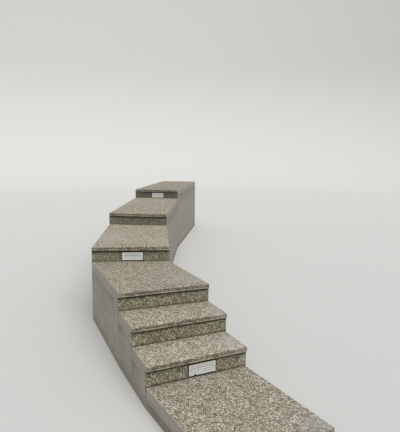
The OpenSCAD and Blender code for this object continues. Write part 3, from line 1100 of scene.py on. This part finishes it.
def board_relief(points, stone):
    """How far a board-formed face lies inside the CAD one: each board by its own amount, a little cupped,
    with a thin fin standing at each joint between boards."""
    z = points[..., 2] / stone.board
    # A point at a joint belongs to the board above it, whichever way its height was rounded
    board = np.floor(z + 1e-6)
    middle = z - board - 0.5
    own = lattice(np.stack([board, 0 * board, 0 * board], axis=-1), 21)
    flat = SET_BACK + UNEVEN * own + CUP * (1 - 4 * middle ** 2) + WAVE * noise(points, 0.21, 23)
    from_joint = (0.5 - np.abs(middle)) * stone.board
    return flat * step_up(from_joint, FIN_CREST, FIN_FOOT)


def board_rows(low, high, stone):
    """Heights of a formed face's rows of points: close together at each joint, and apart between."""
    joints = np.arange(math.floor(low / stone.board), math.ceil(high / stone.board) + 1) * stone.board
    offsets = [0, *ROWS_AT_JOINT, *ROWS_ABOVE, *(-row for row in ROWS_AT_JOINT)]
    rows = np.sort(np.concatenate([joints + offset for offset in offsets]))
    rows = rows[(rows > low + ROW_MARGIN) & (rows < high - stone.groove - ROW_MARGIN)]
    return np.concatenate([[low], rows, [high - stone.groove, high]])


def wall_shell(node, towards, stone):
    """A wall's prism, its outer face formed against boards, and a groove where the slab lies on it."""
    outer = outer_face(node, towards)
    plan = np.unique(np.round(points_of(node)[:, :2], 5), axis=0)
    on_face = outer[1] - plan @ outer[0] < ON_FACE
    tangent = np.array([-outer[0][1], outer[0][0]])
    outer_ends, inner_ends = (
        sorted(ends, key=lambda p: p @ tangent) for ends in (plan[on_face], plan[~on_face]))
    levels = heights(node)
    rows = board_rows(levels[0], levels[-1], stone)
    length = np.linalg.norm(outer_ends[-1] - outer_ends[0])
    shares = np.linspace(0, 1, max(2, round(length / WALL_PITCH)) + 1)
    face, inner = (
        np.stack([raised(line(ends[0], ends[-1], shares), z) for z in rows], axis=1)
        for ends in (outer_ends, inner_ends))
    sunk = board_relief(face, stone)
    sunk[:, 0] = 0
    sunk[:, -1] = stone.groove
    face = face - raised(outer[0], 0.0) * sunk[..., None]
    shell = Shell()
    shell.add(face, weep=np.exp(-(levels[-1] - rows) / WEEP_REACH)[None])
    shell.add(inner)
    for edge in (np.s_[:, 0], np.s_[:, -1], np.s_[0], np.s_[-1]):
        shell.add(np.stack([face[edge], inner[edge]], axis=1))
    return shell


# Step lights


# Radii of the corners of a face plate and of its window
PLATE_CORNER = 0.005
WINDOW_CORNER = 0.0025
# Bite in the lower edge of the first plate: its middle as a share of the plate's width from the
# plate's middle, half its width, and its depth
BITE_MIDDLE = -0.275
BITE_HALF = 0.0085
BITE_DEPTH = 0.0118
# A plate's front inside its rounded edge: share of the frame's width, and how far below the face
CROWN_AND_CHAMFER = [(0.30, 0.0001), (0.70, 0.0001), (0.90, 0.0002), (0.96, 0.0008), (1, 0.0018)]
# How far the gasket reaches in behind the plate, and radius of the edges of a louvre's cheeks
GASKET_LAP = 0.015
CHEEK_EDGE = 0.0006
# Screw heads: height of the dome, depth of its cross, half the width and the length of an arm as
# shares of the radius, turn of the cross, and how deep dome and base are set in the plate
DOME = 0.0023
CROSS = 0.0013
ARM_HALF = 0.14
ARM_LENGTH = 0.62
CROSS_TURN = math.radians(24)
DOME_SEAT = 0.0004
BASE_SEAT = 0.0006


class LightPlace:
    """Place and sizes of the step light in riser k. Local points are to the right, out of the wall and
    up, from the middle of the face plate's back."""

    def __init__(self, k):
        normal, reach = outer_face(f"light_plate_{k}", FRONT)
        self.out = raised(normal, 0.0)
        self.right = np.cross(UP, self.out)
        self.axes = np.stack([self.right, self.out, UP])
        low, high = self.span(f"light_plate_{k}")
        self.origin = np.array([(low[0] + high[0]) / 2, low[1], (low[2] + high[2]) / 2]) @ self.axes
        self.width, self.thick, self.tall = high - low
        low, high = self.span(f"light_lens_{k}")
        self.window_w, self.window_h = (high - low)[[0, 2]]
        low, high = self.span(f"light_louvre_{k}")
        self.hood_back, self.hood_front = np.array([low[1], high[1]]) - self.origin @ self.out
        self.frame_w = (self.width - self.window_w) / 2

    def span(self, node):
        """Lowest and highest of a node's points along the three local axes."""
        local = points_of(node) @ self.axes.T
        return local.min(0), local.max(0)

    def world(self, local):
        """Local points in the part's frame."""
        return self.origin + local @ self.axes

    def near(self, places, reach):
        """Is each place behind the face plate, or within reach of its edges?"""
        local = (places - self.origin) @ self.axes.T
        beside = np.abs(local[..., 0]) < self.width / 2 + reach
        return beside & (np.abs(local[..., 2]) < self.tall / 2 + reach)


def rounded_rectangle(width, height, radius, across=90, up=16, arc=6):
    """Closed outline, anticlockwise from the left end of the bottom edge. Each side is divided evenly
    and each corner is a quarter circle."""
    x, y = width / 2 - radius, height / 2 - radius
    middles = [(x, -y), (x, y), (-x, y), (-x, -y)]
    starts = [(-x, -y - radius), (x + radius, -y), (x, y + radius), (-x - radius, y)]
    ends = [(x, -y - radius), (x + radius, y), (-x, y + radius), (-x - radius, -y)]
    rows = []
    for side, count in enumerate((across, up, across, up)):
        rows.append(line(starts[side], ends[side], np.arange(count) / count))
        angles = np.radians(90 * (side - 1) + 90 * np.arange(arc) / arc)
        spokes = np.stack([np.cos(angles), np.sin(angles)], axis=1)
        rows.append(np.array(middles[side]) + radius * spokes)
    return np.concatenate(rows)


def closed(rows):
    """A grid with its first row repeated at its end."""
    return np.concatenate([rows, rows[:1]])


def ring_shell(place, outer, inner, profile, **values):
    """A frame: a closed profile of (share from the outer to the inner outline, distance out) carried
    round two outlines with as many points each."""

    def wrapped(grid):
        """A grid closed both round the outline and round the profile."""
        return np.concatenate([closed(grid), closed(grid)[:, :1]], axis=1)

    share, out = np.array(profile)[:, 0], np.array(profile)[:, 1]
    flat = outer[:, None] * (1 - share[None, :, None]) + inner[:, None] * share[None, :, None]
    local = np.stack([flat[..., 0], np.broadcast_to(out, flat.shape[:2]), flat[..., 1]], axis=-1)
    shell = Shell()
    shell.add(place.world(wrapped(local)), **{name: wrapped(value) for name, value in values.items()})
    return shell


def plate_shell(place, light, notched):
    """Face plate: a frame with a rounded front edge, a faint crown and a chamfer round the window. A
    notched one has a bite out of its lower edge, near the left."""
    outer = rounded_rectangle(place.width, place.tall, PLATE_CORNER)
    inner = rounded_rectangle(place.window_w, place.window_h, WINDOW_CORNER)
    if notched:
        near = np.exp(-((outer[:, 0] - BITE_MIDDLE * place.width) / BITE_HALF) ** 4)
        lower_edge = outer[:, 1] < -0.49 * place.tall
        ragged = 1 + 0.25 * noise(np.c_[outer, outer[:, 0]], 0.004, 41)
        outer[:, 1] += BITE_DEPTH * (near * lower_edge) * ragged
    # The back of the plate is pressed into the gasket
    w, t, back, edge = place.frame_w, place.thick, light.gasket_thick * 0.8, light.edge
    turn = np.linspace(0, math.pi / 2, 5)
    profile = [(0, back)]
    profile += [((edge - edge * math.cos(a)) / w, t - edge + edge * math.sin(a)) for a in turn]
    profile += [(share, t - below) for share, below in CROWN_AND_CHAMFER]
    profile += [(1, (t + back) / 2), (1, back)]
    # Dirt grows from a little above the plate's middle down to its lower edge
    low = np.clip(-outer[:, 1] / place.tall + 0.1, 0, 1)[:, None] * np.ones(len(profile))
    return ring_shell(place, outer, inner, profile, grime=low * 0.5)


def gasket_shell(place, light):
    """Rubber gasket: a flat frame with a rounded outer lip, from behind the plate to beyond its edge. The
    black lip that shows round the plate is partly a dark piece standing in for the shadow round it.
    """
    reach, lap = 2 * light.gasket_and_shadow_reach, 2 * GASKET_LAP
    outer = rounded_rectangle(place.width + reach, place.tall + reach, PLATE_CORNER + light.gasket_and_shadow_reach)
    inner = rounded_rectangle(place.width - lap, place.tall - lap, WINDOW_CORNER)
    t = light.gasket_thick
    profile = [(0, 0), (0, 0.55 * t), (0.06, 0.9 * t), (0.16, t), (0.5, t), (1, t), (1, 0)]
    return ring_shell(place, outer, inner, profile)


def bar_shell(place, shell, loop, ends):
    """A closed loop of (out, up) points carried to the right from one end to the other, and closed at
    both by a fan."""
    stations = []
    middle = loop.mean(0)
    for x, scale in ((ends[0], 0.0), (ends[0], 1.0), (ends[1], 1.0), (ends[1], 0.0)):
        ring = middle + (loop - middle) * scale
        stations.append(np.column_stack([np.full(len(loop), x), ring]))
    grid = np.stack(stations)
    shell.add(place.world(np.concatenate([grid, grid[:, :1]], axis=1)))


def louvre_shells(place, light, hoods):
    """Hoods and cheeks. A hood's section is a quarter-round sheet that rises from a rounded lip at the
    front and curves back to the lens, and each cheek is a flat bar with rounded edges."""
    radius = place.hood_front - place.hood_back
    t = light.sheet
    rise = np.linspace(0.10, math.pi / 2, 11)
    back = place.hood_front - radius
    outer = np.stack([place.hood_front - radius * (1 - np.cos(rise)), radius * np.sin(rise)], axis=1)
    inner = np.stack([back + (radius - t) * np.cos(rise), (radius - t) * np.sin(rise)], axis=1)
    lip_middle = (outer[0] + inner[0]) / 2
    spin = np.linspace(0, math.pi, 6)[1:-1]
    lip = lip_middle + t / 2 * np.stack([-np.cos(spin), -np.sin(spin)], axis=1)
    loop = np.concatenate([outer[::-1], lip[::-1], inner])
    shell = Shell()
    pitch = place.window_h / hoods
    half = place.window_w / 2 - t / 2
    for i in range(hoods):
        base = (i + 0.5) * pitch - place.window_h / 2 - radius / 2
        bar_shell(place, shell, loop + np.array([0, base]), (-half, half))
    cheek = rounded_rectangle(radius, place.window_h, CHEEK_EDGE, across=2, up=4, arc=3)
    cheek = cheek + np.array([(place.hood_front + place.hood_back) / 2, 0])
    for middle in (-half, half):
        bar_shell(place, shell, cheek, (middle - t / 2, middle + t / 2))
    return shell


def disc(steps):
    """Points of a unit disc: a square grid whose rings of squares are pulled into circles."""
    line_up = np.linspace(-1, 1, 2 * steps + 1)
    x, y = np.meshgrid(line_up, line_up, indexing="ij")
    ring = np.maximum(np.abs(x), np.abs(y))
    length = np.hypot(x, y)
    pull = np.where(length > 0, ring / np.where(length > 0, length, 1), 1)
    return np.stack([x * pull, y * pull], axis=-1)


def screw_shell(place, shell, light, at):
    """Pan-head screw: a low dome over a disc with a cross sunk in it, turned a little, on a flat
    base."""
    flat = disc(9)
    reach = np.linalg.norm(flat, axis=-1)
    dome = DOME * np.sqrt(np.clip(1 - 0.72 * reach ** 2, 0, None))
    x, y = np.abs(flat[..., 0]), np.abs(flat[..., 1])
    arms = np.minimum(
        np.maximum(x / ARM_HALF, y / ARM_LENGTH), np.maximum(y / ARM_HALF, x / ARM_LENGTH))
    out = dome - CROSS * step_up(1 - arms, 0.0, 0.35)
    turned = flat @ np.array(Matrix.Rotation(CROSS_TURN, 2)).T * (light.screw / 2)
    grids = [
        np.stack([turned[..., 0] + at[0], height, turned[..., 1] + at[1]], axis=-1)
        for height in (place.thick - DOME_SEAT + out, np.full(out.shape, place.thick - BASE_SEAT))]
    for grid in grids:
        shell.add(place.world(grid))
    rims = [np.concatenate([g[0], g[1:, -1], g[-1, -2::-1], g[-2::-1, 0]]) for g in grids]
    shell.add(place.world(np.stack(rims, axis=1)))


# Operators


def settings():
    """The scene's three groups of sizes and colours."""
    scene = bpy.context.scene
    return scene.steps_stone, scene.steps_light, scene.steps_stage


class STEPS_OT_treads(bpy.types.Operator):
    """Treads with worn, washed surfaces, and the large stones in them"""

    bl_idname = "steps.treads"
    bl_label = "Treads"

    def execute(self, context):
        stone = settings()[0]
        for k in range(STEPS):
            # Each tread's tone is painted light and shade
            tint = (TREAD_LIGHT_AND_SHADE[k],) * 3
            washed = stone_finish(f"washed_aggregate_{k}", stone, tint)
            pebble = pebble_finish(f"tread_stone_{k}", stone, tint)
            rng = np.random.default_rng(TREAD_SEED + k)
            tread = Tread(k, stone)
            shell, top, face, face_normals = tread.grids()
            piece = shell.piece(f"tread_{k}_surface", washed, "tread_concrete")
            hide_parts(f"tread_{k}")
            spots = scatter(top, np.broadcast_to(UP, top.shape), stone.stone_pitch, rng)
            edge = scatter(face, face_normals, stone.stone_pitch, rng)
            places, ups, room = (np.concatenate(pair) for pair in zip(spots, edge))
            # The stones take the dirt and painted shade of the joint, and painted shade where they face
            # forward
            values = {
                "grime": tread.joint_dirt_and_shade(places), "patch": tread.patches(places),
                "upright": 1 - ups[:, 2]}
            stone_pieces(
                f"tread_{k}_stones", places, ups, room, values, pebble, stone, rng)
        return {"FINISHED"}


class STEPS_OT_risers(bpy.types.Operator):
    """Finish of the risers, and the large stones in their fronts"""

    bl_idname = "steps.risers"
    bl_label = "Risers"

    # Margins of the stones: a share of the width at each side, and distances from the foot and the top
    side_margin = 0.006
    foot_margin = 0.003
    top_margin = 0.004
    # Points of the grid they lie on, along the riser and up it
    grid_size = (60, 9)
    # Reach of the dirt and painted shade at the foot, and depths below the top between which the painted
    # shadow of the nosing fades
    foot_dirt_and_shade = 0.009
    shadow_end = 0.030
    shadow_full = 0.012

    def execute(self, context):
        stone, light, _ = settings()
        tops = [heights(f"tread_{k}")[-1] for k in range(STEPS)]
        rise = (tops[-1] - tops[0]) / (STEPS - 1)
        nosing = tops[0] - heights("riser_0")[-1]
        finish = riser_finish("riser_aggregate", stone, rise, nosing)
        # The risers' stones take the same painted shade
        pebble = pebble_finish("riser_stone", stone, RISER_SHADE)
        shares = np.linspace(self.side_margin, 1 - self.side_margin, self.grid_size[0])
        around_light = light.gasket_and_shadow_reach + stone.stone_most
        for k in range(STEPS):
            node = f"riser_{k}"
            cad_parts[node].data.materials[0] = finish
            rng = np.random.default_rng(RISER_SEED + k)
            front, left, right = (outer_face(node, side) for side in (FRONT, LEFT, RIGHT))
            ends = meeting(front, left), meeting(front, right)
            foot, top = tops[k] - rise, heights(node)[-1]
            rows = np.linspace(foot + self.foot_margin, top - self.top_margin, self.grid_size[1])
            grid = np.stack([raised(line(*ends, shares), z) for z in rows], axis=1)
            normals = np.broadcast_to(raised(front[0], 0.0), grid.shape)
            behind_light = partial(LightPlace(k).near, reach=around_light) if k in LIT else None
            places, ups, room = scatter(grid, normals, stone.stone_pitch, rng, behind_light)
            z = places[:, 2]
            # The stones take dirt and painted shade at the foot, the painted shadow under the nosing, and
            # the darkening of the upper steps
            at_foot = 0.6 * np.exp(-((z - foot) / self.foot_dirt_and_shade) ** 2)
            grime = at_foot + step_up(z, top - self.shadow_end, top - self.shadow_full)
            values = {"grime": np.maximum(grime, 0.72 * step_up(z, *DARKENS))}
            stone_pieces(
                f"{node}_stones", places, ups, room, values, pebble, stone, rng)
        return {"FINISHED"}


class STEPS_OT_walls(bpy.types.Operator):
    """Side walls and end wall, cast against boards"""

    bl_idname = "steps.walls"
    bl_label = "Side walls"

    def execute(self, context):
        stone = settings()[0]
        finish = formed_finish("formed_concrete", stone)
        walls = [(f"left_wall_{k}", LEFT) for k in range(STEPS)]
        walls += [(f"right_wall_{k}", RIGHT) for k in range(STEPS)] + [("end_wall", BACK)]
        for node, towards in walls:
            piece = wall_shell(node, towards, stone).piece(f"{node}_surface", finish, "wall_concrete")
            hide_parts(node)
        return {"FINISHED"}


class STEPS_OT_lights(bpy.types.Operator):
    """Step lights: face plates, gaskets, louvre hoods, screws, lenses and boxes"""

    bl_idname = "steps.lights"
    bl_label = "Step lights"

    # Hoods of a louvre
    hoods = 3

    def execute(self, context):
        stone, light, _ = settings()
        enamel = enamel_finish("white_enamel", light.enamel, tuple(stone.dirt_and_shade))
        dull = enamel_finish("hood_enamel", light.hood, tuple(stone.dirt_and_shade))
        rubber = rubber_finish("gasket_rubber", light)
        steel = metal_finish("screw_steel", light.steel, RUST, 0.0016, 0.35)
        zinc = metal_finish("galvanised_sheet", ZINC, DULL_ZINC, 0.009, 0.3)
        glass = lens_finish("frosted_lens")
        for k in LIT:
            place = LightPlace(k)
            plate = plate_shell(place, light, notched=k == LIT[0]).piece(
                f"light_plate_{k}_enamel", enamel, "light_white")
            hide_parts(f"light_plate_{k}")
            gasket_shell(place, light).piece(f"light_gasket_{k}", rubber, "light_white")
            louvre = louvre_shells(place, light, self.hoods).piece(
                f"light_louvre_{k}_hoods", dull, "louvre_white")
            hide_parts(f"light_louvre_{k}")
            screws = Shell()
            for side in (-1, 1):
                screw_shell(place, screws, light, (side * (place.width - place.frame_w) / 2, 0.0))
            screws.piece(f"light_screws_{k}", steel, "galvanised")
            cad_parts[f"light_lens_{k}"].data.materials[0] = glass
            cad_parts[f"light_box_{k}"].data.materials[0] = zinc
        return {"FINISHED"}


class STEPS_OT_stage(bpy.types.Operator):
    """Pale floor and backdrop, soft lamps and the camera"""

    bl_idname = "steps.stage"
    bl_label = "Stage"

    # Radius of the bend between floor and wall, height of the wall, and points along the bend and round
    bend = 8.0
    wall = 16.0
    bend_points = 13
    round_points = 97
    # Colour of the sky, and the broad lamp's colour, width and turns about X and Y
    sky_colour = (0.97, 0.985, 1.0, 1)
    lamp_colour = (1.0, 0.985, 0.95)
    lamp_width = math.radians(50)
    lamp_turn = (math.radians(35), math.radians(16), 0)
    # Width of the camera's frame in millimetres, and how far it sees
    sensor = 36
    far = 200

    def execute(self, context):
        stage = settings()[2]
        scene = context.scene
        self.backdrop(stage)
        self.lamps(scene, stage)
        camera = bpy.data.objects.new("camera", bpy.data.cameras.new("camera"))
        scene.collection.objects.link(camera)
        camera.data.sensor_width = self.sensor
        camera.data.lens = stage.lens
        camera.data.clip_end = self.far
        tilt = Matrix.Rotation(math.pi / 2 - stage.pitch, 4, "X")
        camera.matrix_world = Matrix.Translation(stage.eye) @ tilt @ Matrix.Rotation(stage.roll, 4, "Z")
        scene.camera = camera
        scene.view_settings.view_transform = "Standard"
        return {"FINISHED"}

    def backdrop(self, stage):
        """A round floor whose rim turns up through a quarter circle into a wall, as a profile of
        (distance from the middle, height) turned about Z."""
        turn = np.linspace(0, math.pi / 2, self.bend_points)
        profile = np.concatenate([
            np.stack([stage.reach * np.array([0, 0.2, 0.5, 0.8]), np.zeros(4)], axis=1),
            np.stack([stage.reach + self.bend * np.sin(turn), self.bend * (1 - np.cos(turn))], axis=1),
            [[stage.reach + self.bend, self.wall]],
        ])
        angle = np.linspace(0, 2 * math.pi, self.round_points)
        grid = np.stack([
            np.outer(np.cos(angle), profile[:, 0]), np.outer(np.sin(angle), profile[:, 0]),
            np.broadcast_to(profile[:, 1], (len(angle), len(profile)))], axis=-1)
        finish = Finish("pale_floor")
        grit = finish.noise(0.05, detail=4.0)
        finish.set(
            Base_Color=finish.mix(finish.step(grit, 0.4, 0.7) * 0.06, stage.floor, FLOOR_GRIT),
            Roughness=0.85 + grit * 0.1, Specular_IOR_Level=0.1)
        mesh = bpy.data.meshes.new("floor")
        # The other way round the corners, so that the faces look up and inwards
        quads = grid_faces(*grid.shape[:2])[:, [0, 3, 2, 1]]
        mesh.from_pydata(grid.reshape(-1, 3).tolist(), [], quads.tolist())
        mesh.polygons.foreach_set("use_smooth", np.ones(len(mesh.polygons), bool))
        mesh.materials.append(finish.material)
        floor = bpy.data.objects.new("floor", mesh)
        bpy.context.scene.collection.objects.link(floor)

    def lamps(self, scene, stage):
        """An even sky, and one broad soft light from above the viewer, a little to the right."""
        world = bpy.data.worlds.new("sky")
        scene.world = world
        world.use_nodes = True
        sky = world.node_tree.nodes["Background"]
        sky.inputs["Color"].default_value = self.sky_colour
        sky.inputs["Strength"].default_value = stage.sky
        sun = bpy.data.lights.new("overhead", "SUN")
        sun.energy = stage.overhead
        sun.angle = self.lamp_width
        sun.color = self.lamp_colour
        lamp = bpy.data.objects.new("overhead", sun)
        lamp.rotation_euler = self.lamp_turn
        scene.collection.objects.link(lamp)


OPERATORS = [STEPS_OT_treads, STEPS_OT_risers, STEPS_OT_walls, STEPS_OT_lights, STEPS_OT_stage]


class STEPS_PT_panel(bpy.types.Panel):
    """Sizes and colours of the steps, and the operators that make them"""

    bl_label = "Garden steps"
    bl_space_type = "VIEW_3D"
    bl_region_type = "UI"
    bl_category = "Steps"

    def draw(self, context):
        for group in settings():
            box = self.layout.box()
            for name in group.__annotations__:
                box.prop(group, name)
        for operator in OPERATORS:
            self.layout.operator(operator.bl_idname)


GROUPS = {"steps_stone": StoneSettings, "steps_light": LightSettings, "steps_stage": StageSettings}


def register():
    for group in GROUPS.values():
        bpy.utils.register_class(group)
    for name, group in GROUPS.items():
        setattr(bpy.types.Scene, name, PointerProperty(type=group))
    for operator in OPERATORS:
        bpy.utils.register_class(operator)
    bpy.utils.register_class(STEPS_PT_panel)


def unregister():
    bpy.utils.unregister_class(STEPS_PT_panel)
    for operator in reversed(OPERATORS):
        bpy.utils.unregister_class(operator)
    for name in GROUPS:
        delattr(bpy.types.Scene, name)
    for group in GROUPS.values():
        bpy.utils.unregister_class(group)


def main():
    """Registers the classes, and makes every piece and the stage."""
    register()
    bpy.ops.steps.treads()
    bpy.ops.steps.risers()
    bpy.ops.steps.walls()
    bpy.ops.steps.lights()
    bpy.ops.steps.stage()


if __name__ == "__main__":
    main()
